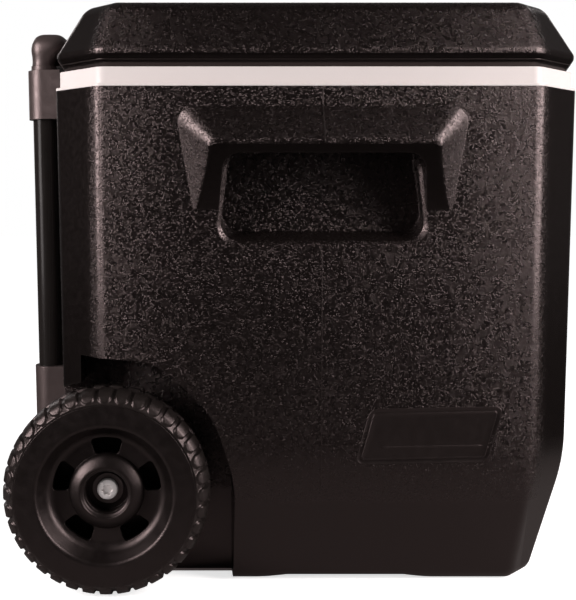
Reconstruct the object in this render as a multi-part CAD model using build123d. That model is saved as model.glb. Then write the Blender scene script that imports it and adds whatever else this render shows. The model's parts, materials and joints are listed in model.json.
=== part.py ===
from build123d import *
from math import atan2, cos, degrees, radians, sin, sqrt, tan
import os

# Wheeled cooler, in millimetres. +Z up, the long side along Y, the tow handle and the wheels
# on the -X side, the hinges on the +X side. The origin is on the floor under the middle.

# Outer wall
body_length = 540.0
body_depth = 414.0
body_height = 390.5
corner_cut = 38.5
crease_round = 12.0
draft_angle = 1.0
wall = 3.0
skirt_height = 96.0
skirt_inset = 24.0
skirt_bend = 170.0
base_round = 12.0
foot_height = 5.0
foot_length = 76.0
foot_width = 58.0
foot_ramp = 30.0
rear_foot = 11.0

# Inner tub and its pale rim
insulation = 34.0
tub_wall = 2.5
tub_corner = 46.0
tub_floor = 44.0
hump_cover = 17.0
rim_band = 12.8
rim_lip = 2.0
rim_inset = 3.0
fit_gap = 0.4

# Moulded hood handle on each end
hood_offset = 2.5
hood_half_width = 113.5
hood_half_foot = 98.2
hood_drop = 13.4
hood_height = 80.0
hood_proud = 22.0
hood_run = 28.5
hood_corner = 13.0
hood_edge = 5.0
pocket_half_top = 72.0
pocket_half_low = 79.0
pocket_drop = 53.5
pocket_height = 64.0
pocket_depth = 20.0
pocket_ramp = 7.0
pocket_lip = 2.5
pocket_corner = 14.0
pocket_rise = 31.0
hood_lip = 10.0

# Wheels, wells and axle bolts
wheel_radius = 80.0
wheel_width = 42.0
wheel_proud = 8.0
axle_inset = 44.0
well_depth = 50.0
well_draft = 4.0
well_front = 99.5
well_knee = 5.0
well_waist = 82.0
waist_height = 60.0
well_shoulder = 38.0
well_crown = 100.0
well_rise = 4.3
knee_round = 110.0
waist_round = 80.0
shoulder_round = 45.0
well_lip = 22.0
lip_clearance = 3.5
ring_outer = 69.0
ring_inner = 52.6
dish_radius = 44.0
dish_depth = 14.0
hub_ring_radius = 29.3
hub_ring_depth = 10.0
hub_recess_radius = 16.6
hub_recess_depth = 22.5
hub_radius = 14.0
hub_end = 47.5
disc_wall = 3.5
spoke_count = 5
window_angle = 35.0
window_round = 3.0
window_edge = 2.0
dish_round = 9.0
rim_round = 4.0
hub_round = 2.0
lug_count = 36
lug_height = 3.2
lug_angle = 6.9
lug_edge = 3.0
row_gap = 3.0
bolt_radius = 6.0
thread_radius = 5.0
bolt_head_radius = 8.1
bolt_head = 5.0
washer_radius = 12.0
washer = 1.2
bush_wall = 3.0
boss_radius = 18.0
insert_wall = 4.0
insert_depth = 16.0
run_fit = 0.08
side_play = 0.3

# Telescoping tow handle
tube_offset = 21.8
tube_inset = 105.0
tube_radius = 10.3
tube_wall = 1.2
mid_wall = 1.0
slide_gap = 0.3
bracket_wall = 3.2
bracket_plate = 4.0
bracket_plate_width = 74.0
bracket_plate_height = 17.0
upper_bracket_height = 41.7
upper_bracket_over = 24.3
lower_bracket_height = 69.0
lower_bracket_hang = 27.0
lower_plate_height = 40.0
lower_plate_room = 2.0
bracket_floor = 4.0
collar_height = 4.0
collar_wall = 2.0
stage_step = 3.0
grip_width = 25.0
grip_height = 27.0
grip_round = 9.0
grip_setback = 3.2
grip_drop = 12.0
elbow_length = 40.0
elbow_roof = 6.0
core_margin = 4.5
core_seat = 12.0
sleeve_margin = 1.0
grip_tilt = 10.0
bracket_lid_room = 6.0
guide_height = 4.0

# Lid
lid_gap = 0.5
lid_height = 53.6
lip_height = 11.2
lip_tuck = 7.0
lid_wall = 3.0
slope_handle = 24.0
slope_hinge = 24.0
slope_end = 25.0
lid_top_cut = 23.0
lid_top_crease = 14.0
lid_top_round = 18.0
lid_lip_round = 6.0
plug_depth = 11.0
plug_gap = 5.0
cup_radius = 39.0
cup_depth = 13.0
cup_lip = 1.5
cup_inset_x = 78.0
cup_inset_y = 76.0

# Hinges
hinge_inset = 120.0
hinge_back = 4.0
hinge_drop = 8.0
knuckle_radius = 5.0
pin_radius = 2.5
knuckle_length = 14.0
arm_length = 19.2
arm_neck = 6.0
arm_pad_width = 30.0
arm_pad_height = 18.0
arm_pad_depth = 13.0
hinge_plate = 3.0
hinge_plate_height = 36.0
hinge_plate_width = 64.0
hinge_screw_drop = 21.6
knuckle_room = 1.5

# Drain
drain_inset = 105.0
drain_recess_radius = 26.0
drain_recess_depth = 24.0
drain_tube_radius = 10.0
drain_bore = 7.0
drain_flange_radius = 17.0
drain_flange = 3.0
drain_gasket_height = 2.0
drain_nut_radius = 16.0
drain_nut_height = 6.0
drain_neck = 10.0
drain_cap_radius = 15.0
drain_cap_end = 3.0
drain_rib_count = 12
drain_rib = 1.4

# Screws
screw_head_radius = 3.6
screw_head = 2.2
screw_radius = 1.8
screw_edge = 9.0
seat_gap = 0.05

# Derived places
hinge_proud = knuckle_radius - hinge_back
overall_depth = body_depth + wheel_radius - axle_inset + hinge_proud
front_x = overall_depth / 2 - hinge_proud
rear_x = front_x - body_depth
body_x = (front_x + rear_x) / 2
hood_x = body_x + hood_offset
end_y = body_length / 2
tube_spacing = body_length - 2 * tube_inset
hinge_spacing = body_length - 2 * hinge_inset
axle_x = rear_x + axle_inset
axle_z = wheel_radius
ring_y = end_y + wheel_proud
well_y = end_y - well_depth
skirt_lean = degrees(atan2(skirt_inset, skirt_height))
skirt_top = skirt_height + skirt_bend * tan(radians(skirt_lean / 2))
rim_top = body_height + rim_lip + rim_band
lid_bottom = rim_top + lid_gap
lip_z = lid_bottom + lip_height
lid_top = lid_bottom + lid_height
hinge_x = front_x - hinge_back
hinge_z = rim_top - hinge_drop
tub_depth = body_depth - 2 * (wall + insulation)
tub_length = body_length - 2 * (wall + insulation)
upper_bracket_top = body_height + upper_bracket_over
upper_bracket_low = upper_bracket_top - upper_bracket_height
lower_plate_low = skirt_top + lower_plate_room
lower_bracket_low = lower_plate_low - lower_bracket_hang
lower_bracket_top = lower_bracket_low + lower_bracket_height
grip_top = lid_top - grip_drop
drain_x = front_x - drain_inset
drain_z = tub_floor + drain_nut_radius + fit_gap
drain_recess_floor = end_y - drain_recess_depth
slope = tan(radians(draft_angle))
rear_frame = Pos(rear_x, 0, body_height) * Rot(0, -draft_angle, 0)
ends = {"near": -1, "far": 1}
reach = 60.0


def drafted_block(depth, length, radius, top, bottom):
    """Rounded box that narrows downward by the draft angle; depth and length are at its top."""
    outline = Pos(body_x, 0, top) * RectangleRounded(depth, length, radius)
    return extrude(outline, top - bottom, dir=(0, 0, -1), taper=draft_angle)


def plan(depth, length, cut, crease):
    """Plan outline: a rectangle with its corners cut at 45 degrees and the creases of the cuts rounded."""
    outline = chamfer(Rectangle(depth, length).vertices(), cut)
    return fillet(outline.vertices(), crease)


def inner_cut(cut, inset):
    """Corner cut of an outline moved in by inset, so that its slanted side moves in by as much."""
    return cut - inset * (2 - sqrt(2))


def facet_distance(angle):
    """Distance at the top from the middle to the flat that faces an angle: a side, an end or a cut corner."""
    along = abs(cos(radians(angle)))
    across = abs(sin(radians(angle)))
    side = along * body_depth / 2 + across * (body_length / 2 - corner_cut)
    end = along * (body_depth / 2 - corner_cut) + across * body_length / 2
    return max(side, end)


def wall_prism(angle, inset, top, bottom):
    """A long block with the wall's upright section across one direction: draft, soft bend, turned-in foot."""
    full = facet_distance(angle) - inset
    bend = bottom + skirt_height
    half_top = full - slope * (body_height - top)
    half_bend = full - slope * (body_height - bend)
    half_low = full - slope * (body_height - bottom) - skirt_inset
    section = Polygon(
        (-half_low, bottom),
        (half_low, bottom),
        (half_bend, bend),
        (half_top, top),
        (-half_top, top),
        (-half_bend, bend),
        align=None,
    )
    section = fillet(section.vertices().sort_by(Axis.Y)[2:4], skirt_bend)
    direction = (cos(radians(angle)), sin(radians(angle)), 0)
    facing = (direction[1], -direction[0], 0)
    return extrude(Plane((body_x, 0, 0), x_dir=direction, z_dir=facing) * section, body_length, both=True)


def skirted_block(inset, top, bottom):
    """The outer wall's form, moved in by inset: cut corners with soft creases, foot turned in all round."""
    block = wall_prism(0, inset, top, bottom)
    for angle in (45, 90, 135):
        block &= wall_prism(angle, inset, top, bottom)
    creases = [edge for edge in block.edges() if edge.bounding_box().size.Z > wall]
    return fillet(creases, crease_round)


def mirrored(solid, end):
    """A piece drawn for the near end (-Y), placed at the near or the far end."""
    return solid if end < 0 else mirror(solid, Plane.XZ)


def axle_cylinder(radius, start, stop):
    """A rod on the near wheel's axle between two depths behind the wheel's outer face."""
    rod = Rot(-90, 0, 0) * Cylinder(radius, stop - start, align=(Align.CENTER, Align.CENTER, Align.MIN))
    return Pos(axle_x, -ring_y + start, axle_z) * rod


def screw(place, length, room=0.0):
    """A screw with its head level with the face at place and its shank along local -Z; room makes a hole."""
    downward = (Align.CENTER, Align.CENTER, Align.MAX)
    head = Cylinder(screw_head_radius + room, screw_head + room, align=downward)
    shank = Cylinder(screw_radius + room, length + room, align=downward)
    return place * (head + shank)


def span_box(x, y, z):
    """A box between two limits on each axis."""
    sizes = (x[1] - x[0], y[1] - y[0], z[1] - z[0])
    return Pos(x[0], y[0], z[0]) * Box(*sizes, align=(Align.MIN, Align.MIN, Align.MIN))


def well_arch(grow):
    """Outline of the wheel arch about the axle: crown rising to the rear, bowed shoulder, front wall."""
    rear = -reach - axle_inset
    low = -axle_z - reach
    crown = well_crown + (well_shoulder - rear) * tan(radians(well_rise))
    outline = Polygon(
        (rear, low),
        (well_front, low),
        (well_front, well_knee),
        (well_waist, waist_height),
        (well_shoulder, well_crown),
        (rear, crown),
        align=None,
    )
    knee = outline.vertices().sort_by_distance((well_front, well_knee))[0]
    outline = fillet(knee, knee_round)
    waist = outline.vertices().sort_by_distance((well_waist, waist_height))[0]
    outline = fillet(waist, waist_round)
    shoulder = outline.vertices().sort_by_distance((well_shoulder, well_crown))[0]
    return offset(fillet(shoulder, shoulder_round), grow)


def well_form(grow):
    """Near wheel well, open below and behind; grow adds a wall's thickness on every side."""
    start = end_y + reach
    back = well_y - grow
    arch = well_arch(grow - (end_y - back) * tan(radians(well_draft)))
    tunnel = extrude(end_plane(back) * Pos(axle_x, axle_z) * arch, start - back, taper=-well_draft)
    deep = (-start, -back)
    across = (rear_x + well_lip - grow, axle_x + 2 * well_front)
    tunnel = tunnel & span_box(across, deep, (-reach, body_height))
    room = wheel_radius + lip_clearance + grow
    tyre_room = axle_cylinder(room, ring_y - start, ring_y - well_y + grow)
    below = span_box((axle_x - room, axle_x + room), deep, (-reach, axle_z))
    return tunnel + tyre_room + below


def foot_arch(start, stop):
    """Section of the hollow between two feet, with ramped sides, from start to stop."""
    return Polygon(
        (start, -foot_height),
        (start, 0),
        (start + foot_ramp, foot_height),
        (stop - foot_ramp, foot_height),
        (stop, 0),
        (stop, -foot_height),
        align=None,
    )


def base_hollows():
    """The shallow hollows under the base, along Y and along X, that leave four feet."""
    base_front = front_x - slope * body_height - skirt_inset
    base_end = end_y - slope * body_height - skirt_inset
    inner_end = base_end - foot_width
    along = foot_arch(axle_x + well_front + rear_foot, base_front - foot_length)
    across = foot_arch(-inner_end, inner_end)
    long_cut = extrude(Plane.XZ * along, body_length, both=True)
    cross_cut = extrude(Plane.YZ * across, overall_depth, both=True)
    return long_cut + cross_cut


def end_plane(distance):
    """A plane facing the near end, with X to the right and Z up, at a distance from the middle."""
    return Plane((0, -distance, 0), x_dir=(1, 0, 0), z_dir=(0, -1, 0))


def hood_outline(inset, corner):
    """Front outline of the hood: a trapezoid with rounded upper corners, its sides moved in by inset."""
    top = body_height - hood_drop
    low = top - hood_height
    outline = Polygon(
        (hood_x - hood_half_foot + inset, low),
        (hood_x + hood_half_foot - inset, low),
        (hood_x + hood_half_width - inset, top - inset),
        (hood_x - hood_half_width + inset, top - inset),
        align=None,
    )
    return fillet(outline.vertices().sort_by(Axis.Y)[-2:], corner)


def hood():
    """Near hood handle: sloped block cut off by a plane from its crest down to the ends of its legs."""
    crest_z = body_height - hood_drop - hood_run
    leg_z = body_height - hood_drop - hood_height
    root = end_y - wall / 2
    proud = end_y + hood_proud
    base = end_plane(root) * hood_outline(0, hood_corner)
    crest = end_plane(proud) * hood_outline(hood_run, hood_edge)
    block = loft([base, crest], ruled=True)
    normal = (0, leg_z - crest_z, -hood_proud)
    face = Plane((hood_x, -proud, crest_z), x_dir=(1, 0, 0), z_dir=normal)
    block -= extrude(face * Rectangle(body_depth, body_depth), body_depth)
    ridge = block.faces().sort_by(Axis((0, 0, 0), normal))[-1]
    return fillet(ridge.edges().sort_by(Axis.Z)[1:], hood_edge)


def pocket_outline(low, grow):
    """Front outline of the finger pocket down to a height, wider below, with rounded corners."""
    top = body_height - pocket_drop
    outline = Polygon(
        (hood_x - pocket_half_low - grow, low - grow),
        (hood_x + pocket_half_low + grow, low - grow),
        (hood_x + pocket_half_top + grow, top + grow),
        (hood_x - pocket_half_top - grow, top + grow),
        align=None,
    )
    return fillet(outline.vertices(), pocket_corner)


def pocket_form(grow):
    """Near finger pocket with a ramped foot, and the room behind the hood; grow adds wall round it."""
    top = body_height - pocket_drop
    low = top - pocket_height
    floor = end_y - pocket_depth - grow
    face = end_y - slope * (pocket_drop + pocket_height)
    foot = end_plane(floor) * pocket_outline(low + pocket_ramp, grow)
    neck = end_plane(face - pocket_lip) * pocket_outline(low, grow)
    mouth = end_plane(face) * pocket_outline(low, grow + pocket_lip)
    pocket = loft([foot, neck], ruled=True) + loft([neck, mouth], ruled=True)
    pocket += extrude(mouth, hood_proud + reach)
    lip = end_y + hood_proud - hood_lip + grow
    roof = top + pocket_rise + grow
    bend = (lip - end_y) * hood_run / hood_proud
    open_low = top - pocket_corner
    section = Polygon(
        (-floor, open_low),
        (-floor, roof - hood_lip),
        (-floor - hood_lip, roof),
        (-end_y, roof),
        (-lip, roof - bend),
        (-lip, open_low),
        align=None,
    )
    behind = extrude(Plane.YZ * section, pocket_half_top + grow, both=True)
    return pocket + Pos(hood_x, 0, 0) * behind


def hinge_seat(grow):
    """Shallow seats for the two hinge plates in the front face."""
    half = hinge_plate_width / 2 + grow
    low = body_height - hinge_plate_height - grow
    depth = front_x - hinge_plate - slope * hinge_plate_height - grow
    seat = span_box((depth, front_x + reach), (-half, half), (low, body_height))
    return Pos(0, -hinge_spacing / 2, 0) * seat + Pos(0, hinge_spacing / 2, 0) * seat


def drain_rod(radius, start, stop):
    """A rod on the drain's axis between two places along Y."""
    rod = Rot(-90, 0, 0) * Cylinder(radius, stop - start, align=(Align.CENTER, Align.CENTER, Align.MIN))
    return Pos(drain_x, start, drain_z) * rod


def both_ends(form):
    """A form of the near end together with its twin at the far end."""
    return form + mirror(form, Plane.XZ)


boss_face = hub_end + side_play + washer
wall_face = ring_y - well_y
insert_radius = thread_radius + insert_wall
insert_end = boss_face + insert_depth


def hollow(grow):
    """What the moulded recesses take up behind the outer wall, each with grow of material round it."""
    boss = axle_cylinder(insert_radius + grow, wall_face, insert_end + grow)
    form = both_ends(well_form(grow)) + both_ends(pocket_form(grow)) + both_ends(boss)
    recess = drain_rod(drain_recess_radius + grow, drain_recess_floor - grow, end_y)
    return form + hinge_seat(grow) + recess


def body_form():
    """Outer wall as a full block, with its base edge rounded."""
    block = skirted_block(0, body_height, 0)
    base = block.faces().sort_by(Axis.Z)[0]
    return fillet(base.edges(), base_round)


def bracket_screw_places(low, height):
    """Where the two screws of a near bracket's plate stand, in the frame of the rear wall."""
    reach_y = bracket_plate_width / 2 - screw_edge
    z = low + height / 2 - body_height
    outward = Rot(0, -90, 0)
    rows = [-tube_spacing / 2 - reach_y, -tube_spacing / 2 + reach_y]
    return [rear_frame * Pos(-bracket_plate, y, z) * outward for y in rows]


def hinge_screw_places():
    """Where the screws of both hinge plates stand, on the drafted front face."""
    reach_y = hinge_plate_width / 2 - screw_edge
    z = body_height - hinge_screw_drop
    x = front_x - slope * hinge_screw_drop
    rows = [side * hinge_spacing / 2 + step * reach_y for side in (-1, 1) for step in (-1, 1)]
    return [Pos(x, y, z) * Rot(0, 90 + draft_angle, 0) for y in rows]


bracket_places = bracket_screw_places(upper_bracket_low, bracket_plate_height)
bracket_places += bracket_screw_places(lower_plate_low, lower_plate_height)
bracket_screw_length = bracket_plate + wall - fit_gap
hinge_screw_length = hinge_plate + wall - fit_gap


def body_shell():
    """Black outer wall with hood handles, wheel wells, axle bosses, feet and seats, open at the top."""
    cavity = skirted_block(wall, body_height, foot_height + wall) - hollow(wall)
    shell = body_form() + both_ends(hood()) - cavity
    shell -= both_ends(well_form(0)) + both_ends(pocket_form(0)) + base_hollows() + hinge_seat(0)
    shell += both_ends(axle_cylinder(boss_radius, boss_face, wall_face + wall / 2))
    shell -= both_ends(axle_cylinder(insert_radius + seat_gap, 0, insert_end))
    shell -= drain_rod(drain_recess_radius, drain_recess_floor, end_y + reach)
    shell -= drain_rod(drain_tube_radius + seat_gap, 0, end_y)
    for place in bracket_places:
        shell -= both_ends(screw(place, bracket_screw_length, seat_gap))
    for place in hinge_screw_places():
        shell -= screw(place, hinge_screw_length, seat_gap)
    return shell


def tub_block(grow, hump):
    """Inner tub as a full block, grown by grow, with a hump over each wheel well."""
    corner = tub_corner + grow
    floor = tub_floor - tub_wall - grow
    block = drafted_block(tub_depth + 2 * grow, tub_length + 2 * grow, corner, rim_top, floor)
    return block - both_ends(well_form(hump))


def liner():
    """Pale tub with the band that shows under the lid and the lip that sits on the outer wall."""
    cover = wall + hump_cover
    inner = drafted_block(
        tub_depth - 2 * tub_wall, tub_length - 2 * tub_wall, tub_corner - tub_wall, rim_top, tub_floor
    )
    inner -= both_ends(well_form(cover + tub_wall))
    lip = Pos(body_x, 0, body_height) * plan(body_depth, body_length, corner_cut, crease_round)
    band_cut = inner_cut(corner_cut, rim_inset)
    band = plan(body_depth - 2 * rim_inset, body_length - 2 * rim_inset, band_cut, crease_round)
    band = Pos(body_x, 0, body_height) * band
    rim = extrude(lip, rim_lip) + extrude(band, rim_lip + rim_band)
    half = hinge_plate_width / 2 + fit_gap
    notch_x = hinge_x - knuckle_radius - knuckle_room
    notch = span_box((notch_x, front_x + reach), (-half, half), (body_height, rim_top + reach))
    notches = Pos(0, -hinge_spacing / 2, 0) * notch + Pos(0, hinge_spacing / 2, 0) * notch
    tub = tub_block(0, cover) + rim - inner - notches
    return tub - drain_rod(drain_tube_radius + seat_gap, 0, end_y)


def body_foam():
    """Insulation between the outer wall and the tub, clear of both by the fit gap."""
    inset = wall + fit_gap
    foam = skirted_block(inset, body_height - fit_gap, foot_height + inset)
    foam -= tub_block(fit_gap, wall + hump_cover - fit_gap)
    foam -= hollow(inset)
    return foam - drain_rod(drain_tube_radius + fit_gap, 0, end_y)


bush_radius = bolt_radius + run_fit + bush_wall
washer_start = hub_recess_depth - side_play - washer
head_start = washer_start - bolt_head


def softened(outline, x, y, radius):
    """An outline with its corner at a point rounded."""
    return fillet(outline.vertices().sort_by_distance((x, y))[0], radius)


def wheel_disc():
    """Near wheel's moulded centre: ring, dish with windows, raised hub ring and hub, ribs, flat back."""
    back = hub_recess_depth + disc_wall
    floor = dish_depth + disc_wall
    profile = Polygon(
        (ring_outer, 0),
        (ring_outer, wheel_width),
        (ring_outer - disc_wall, wheel_width),
        (ring_outer - disc_wall, disc_wall),
        (ring_inner + disc_wall / 2, disc_wall),
        (dish_radius + disc_wall / 2, floor),
        (hub_recess_radius + disc_wall, floor),
        (hub_recess_radius + disc_wall, back),
        (hub_radius, back),
        (hub_radius, hub_end),
        (bush_radius, hub_end),
        (bush_radius, hub_recess_depth),
        (hub_recess_radius, hub_recess_depth),
        (hub_recess_radius, hub_ring_depth + disc_wall),
        (hub_recess_radius + disc_wall, hub_ring_depth),
        (hub_ring_radius - disc_wall, hub_ring_depth),
        (hub_ring_radius, dish_depth),
        (dish_radius, dish_depth),
        (ring_inner, 0),
        align=None,
    )
    profile = softened(profile, ring_inner, 0, rim_round)
    profile = softened(profile, dish_radius, dish_depth, dish_round)
    profile = softened(profile, hub_ring_radius - disc_wall, hub_ring_depth, hub_round)
    profile = softened(profile, hub_recess_radius + disc_wall, hub_ring_depth, hub_round)
    web_start = hub_radius - disc_wall / 2
    web_end = ring_outer - disc_wall / 2
    web = Polygon(
        (web_start, wheel_width - disc_wall),
        (web_end, wheel_width - disc_wall),
        (web_end, wheel_width),
        (web_start, wheel_width),
        align=None,
    )
    disc = revolve(profile, Axis.Y) + revolve(web, Axis.Y)
    window_out = dish_radius - window_edge
    opening = Polygon(
        (hub_ring_radius, dish_depth - disc_wall),
        (window_out, dish_depth - disc_wall),
        (window_out, floor + disc_wall),
        (hub_ring_radius, floor + disc_wall),
        align=None,
    )
    window = revolve(opening, Axis.Y, revolution_arc=window_angle)
    window = fillet(window.edges().filter_by(Axis.Y), window_round)
    rib = span_box(
        (web_start, web_end),
        (floor - disc_wall / 2, wheel_width - disc_wall / 2),
        (-disc_wall / 2, disc_wall / 2),
    )
    rib -= revolve(dish_room(), Axis.Y)
    pitch = 360 / spoke_count
    for index in range(spoke_count):
        disc -= Rot(0, index * pitch - 90 - window_angle / 2, 0) * window
        disc += Rot(0, (index + 0.5) * pitch - 90, 0) * rib
    return Pos(axle_x, -ring_y, axle_z) * disc


def dish_room():
    """Section of the space in front of the dish wall and in the hub's recess, which the ribs keep out of."""
    recess = hub_recess_radius + disc_wall / 2
    return Polygon(
        (dish_radius, dish_depth + disc_wall / 2),
        (ring_inner, disc_wall / 2),
        (ring_inner, -disc_wall),
        (0, -disc_wall),
        (0, hub_recess_depth + disc_wall / 2),
        (recess, hub_recess_depth + disc_wall / 2),
        (recess, dish_depth + disc_wall / 2),
        align=None,
    )


def wheel_tyre():
    """Near wheel's tread: a ring with chamfered shoulders and two staggered rows of lugs."""
    base_radius = wheel_radius - lug_height
    shoulder = base_radius - ring_outer - lug_edge / 2
    bore = ring_outer + seat_gap
    section = Polygon(
        (bore, lug_edge / 3),
        (bore, wheel_width - lug_edge / 3),
        (bore + lug_edge / 2, wheel_width - lug_edge / 3),
        (base_radius, wheel_width - lug_edge / 3 - shoulder),
        (base_radius, lug_edge / 3 + shoulder),
        (bore + lug_edge / 2, lug_edge / 3),
        align=None,
    )
    tyre = revolve(section, Axis.Y)
    inner = wheel_width / 2 - row_gap / 2
    row = Polygon(
        (base_radius - lug_edge, lug_edge + lug_height),
        (wheel_radius - lug_edge / 2, lug_edge + lug_edge / 2),
        (wheel_radius, lug_edge * 2),
        (wheel_radius, inner),
        (base_radius - lug_edge, inner),
        align=None,
    )
    lug = revolve(row, Axis.Y, revolution_arc=lug_angle)
    twin = Pos(0, wheel_width, 0) * mirror(lug, Plane.XZ)
    pitch = 360 / lug_count
    lugs = [Rot(0, index * pitch, 0) * lug for index in range(lug_count)]
    lugs += [Rot(0, (index + 0.5) * pitch, 0) * twin for index in range(lug_count)]
    return Pos(axle_x, -ring_y, axle_z) * (tyre + lugs)


def wheel_bush():
    """Near wheel's bearing sleeve in the hub."""
    return axle_cylinder(bush_radius - seat_gap, hub_recess_depth, hub_end) - axle_cylinder(
        bolt_radius + run_fit, 0, hub_end + reach
    )


def axle_bolt():
    """Near axle bolt: round head, shoulder that the wheel turns on, threaded end in the insert."""
    head = axle_cylinder(bolt_head_radius, head_start, washer_start)
    shoulder = axle_cylinder(bolt_radius, head_start, boss_face)
    end = axle_cylinder(thread_radius, boss_face, insert_end - bolt_head)
    rim = head.faces().sort_by(Axis.Y)[0].edges()
    return fillet(rim, bolt_head / 3) + shoulder + end


def axle_washer(start):
    """A plain washer on the near axle bolt."""
    return axle_cylinder(washer_radius, start, start + washer) - axle_cylinder(
        bolt_radius + seat_gap, 0, start + reach
    )


def axle_insert():
    """Threaded metal insert in the near axle boss."""
    return axle_cylinder(insert_radius, boss_face, insert_end) - axle_cylinder(
        thread_radius + seat_gap, 0, insert_end + reach
    )


def rear_rod(radius, start, stop):
    """A rod on the near tow tube's axis between two heights, standing with the rear wall's lean."""
    rod = Cylinder(radius, stop - start, align=(Align.CENTER, Align.CENTER, Align.MIN))
    return rear_frame * Pos(-tube_offset, -tube_spacing / 2, start - body_height) * rod


def rear_box(x, y, z):
    """A box in the frame of the rear wall, about the near tow tube; x is negative outward, z a height."""
    shift = (z[0] - body_height, z[1] - body_height)
    return rear_frame * Pos(0, -tube_spacing / 2, 0) * span_box(x, y, shift)


bracket_radius = tube_radius + bracket_wall
mid_radius = tube_radius - tube_wall - slide_gap
inner_radius = mid_radius - mid_wall - slide_gap
tube_low = lower_bracket_low + bracket_floor
tube_top = upper_bracket_top - guide_height
mid_top = upper_bracket_top + slide_gap + collar_height
grip_low = grip_top - grip_height
inner_top = grip_top - elbow_roof


def bracket(low, top, plate_low, plate_height):
    """A near tow bracket: collar round the tube, web to the wall below the lid, screwed plate."""
    half = bracket_radius
    web_top = min(top, body_height)
    form = rear_rod(half, low, top)
    form += rear_box((-tube_offset, 0), (-half, half), (low, web_top))
    form += rear_box((-tube_offset, -bracket_lid_room), (-half, half), (low, top))
    plate = bracket_plate_width / 2
    form += rear_box((-bracket_plate, 0), (-plate, plate), (plate_low, plate_low + plate_height))
    for place in bracket_screw_places(plate_low, plate_height):
        form -= screw(place, bracket_screw_length, seat_gap)
    return form


def upper_bracket():
    """Near upper bracket; its guide at the top holds the outer tube down and steers the middle one."""
    form = bracket(upper_bracket_low, upper_bracket_top, upper_bracket_low, bracket_plate_height)
    form -= rear_rod(tube_radius + seat_gap, upper_bracket_low - reach, tube_top + seat_gap)
    return form - rear_rod(mid_radius + slide_gap, upper_bracket_low, upper_bracket_top + reach)


def lower_bracket():
    """Near lower bracket: a cup that the outer tube stands in, cut to the turned-in skirt."""
    form = bracket(lower_bracket_low, lower_bracket_top, lower_plate_low, lower_plate_height)
    return form - rear_rod(tube_radius + seat_gap, tube_low, lower_bracket_top + reach)


def outer_tube():
    """Near outer tow tube, fixed in both brackets."""
    return rear_rod(tube_radius, tube_low, tube_top) - rear_rod(tube_radius - tube_wall, 0, lid_top)


def mid_tube():
    """Near middle tow tube."""
    low = tube_low + stage_step
    return rear_rod(mid_radius, low, mid_top) - rear_rod(mid_radius - mid_wall, 0, lid_top + reach)


def mid_collar():
    """Near collar on the middle tube, which stops it on the upper bracket."""
    ring = rear_rod(mid_radius + collar_wall, mid_top - collar_height, mid_top)
    return ring - rear_rod(mid_radius + seat_gap, 0, lid_top + reach)


def inner_tube():
    """Near inner tow tube, which carries the grip."""
    low = tube_low + 2 * stage_step
    return rear_rod(inner_radius, low, inner_top) - rear_rod(inner_radius - mid_wall, 0, inner_top)


def grip_bar(margin, start, stop):
    """A length of the grip's rounded section along Y, its faces moved in by margin."""
    width = grip_width - 2 * margin
    height = grip_height - 2 * margin
    section = Rot(0, 0, -grip_tilt) * RectangleRounded(width, height, grip_round - margin / 2)
    x = -grip_setback - grip_width / 2
    z = (grip_top + grip_low) / 2 - body_height
    front = Plane((x, start, z), x_dir=(1, 0, 0), z_dir=(0, -1, 0))
    return rear_frame * extrude(front * section, stop - start, dir=(0, 1, 0))


elbow_inner = tube_spacing / 2 - elbow_length / 2
elbow_outer = tube_spacing / 2 + elbow_length / 2


def elbow():
    """Near elbow of the grip, rounded at its outer end, with a neck down to the inner tube."""
    form = grip_bar(0, -elbow_outer, -elbow_inner)
    end = form.faces().sort_by(Axis.Y)[0]
    form = fillet(end.edges(), grip_round)
    neck_top = (grip_top + grip_low) / 2
    form += rear_rod(inner_radius + collar_wall, mid_top + slide_gap, neck_top)
    form -= rear_rod(inner_radius + seat_gap, 0, inner_top + seat_gap)
    return form - grip_bar(core_margin - seat_gap, -elbow_inner - core_seat, 0)


def grip_core():
    """Rigid bar inside the grip, seated in both elbows."""
    return grip_bar(core_margin, -elbow_inner - core_seat, elbow_inner + core_seat)


def grip_sleeve():
    """Soft sleeve on the grip between the elbows."""
    length = elbow_inner - seat_gap
    bore = grip_bar(core_margin - seat_gap, -elbow_outer, elbow_outer)
    return grip_bar(sleeve_margin, -length, length) - bore


def lid_slice(z, inset, rear, front, end, cut, crease):
    """Plan outline of the lid at one height, moved in on the handle side, the hinge side and the ends."""
    depth = body_depth - rear - front - 2 * inset
    length = body_length - 2 * end - 2 * inset
    middle = body_x + (rear - front) / 2
    return Pos(middle, 0, z) * plan(depth, length, inner_cut(cut, inset), crease)


def lid_form(inset):
    """The lid as a full block: lip tucked in below, sloped sides above; inset moves every face in."""
    low_cut = inner_cut(corner_cut, lip_tuck)
    low = lid_slice(lid_bottom, inset, lip_tuck, lip_tuck, lip_tuck, low_cut, crease_round)
    lip = lid_slice(lip_z, inset, 0, 0, 0, corner_cut, crease_round)
    sides = (slope_handle, slope_hinge, slope_end)
    top = lid_slice(lid_top - inset, inset, *sides, lid_top_cut, lid_top_crease)
    return loft([low, lip], ruled=True) + loft([lip, top], ruled=True)


def lid_outer():
    """The lid's outer form with its top edge and its lip rounded."""
    form = lid_form(0)
    form = fillet(form.faces().sort_by(Axis.Z)[-1].edges(), lid_top_round)
    lip = form.edges().filter_by_position(Axis.Z, lip_z - lid_gap, lip_z + lid_gap)
    return fillet(lip, lid_lip_round)


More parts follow.
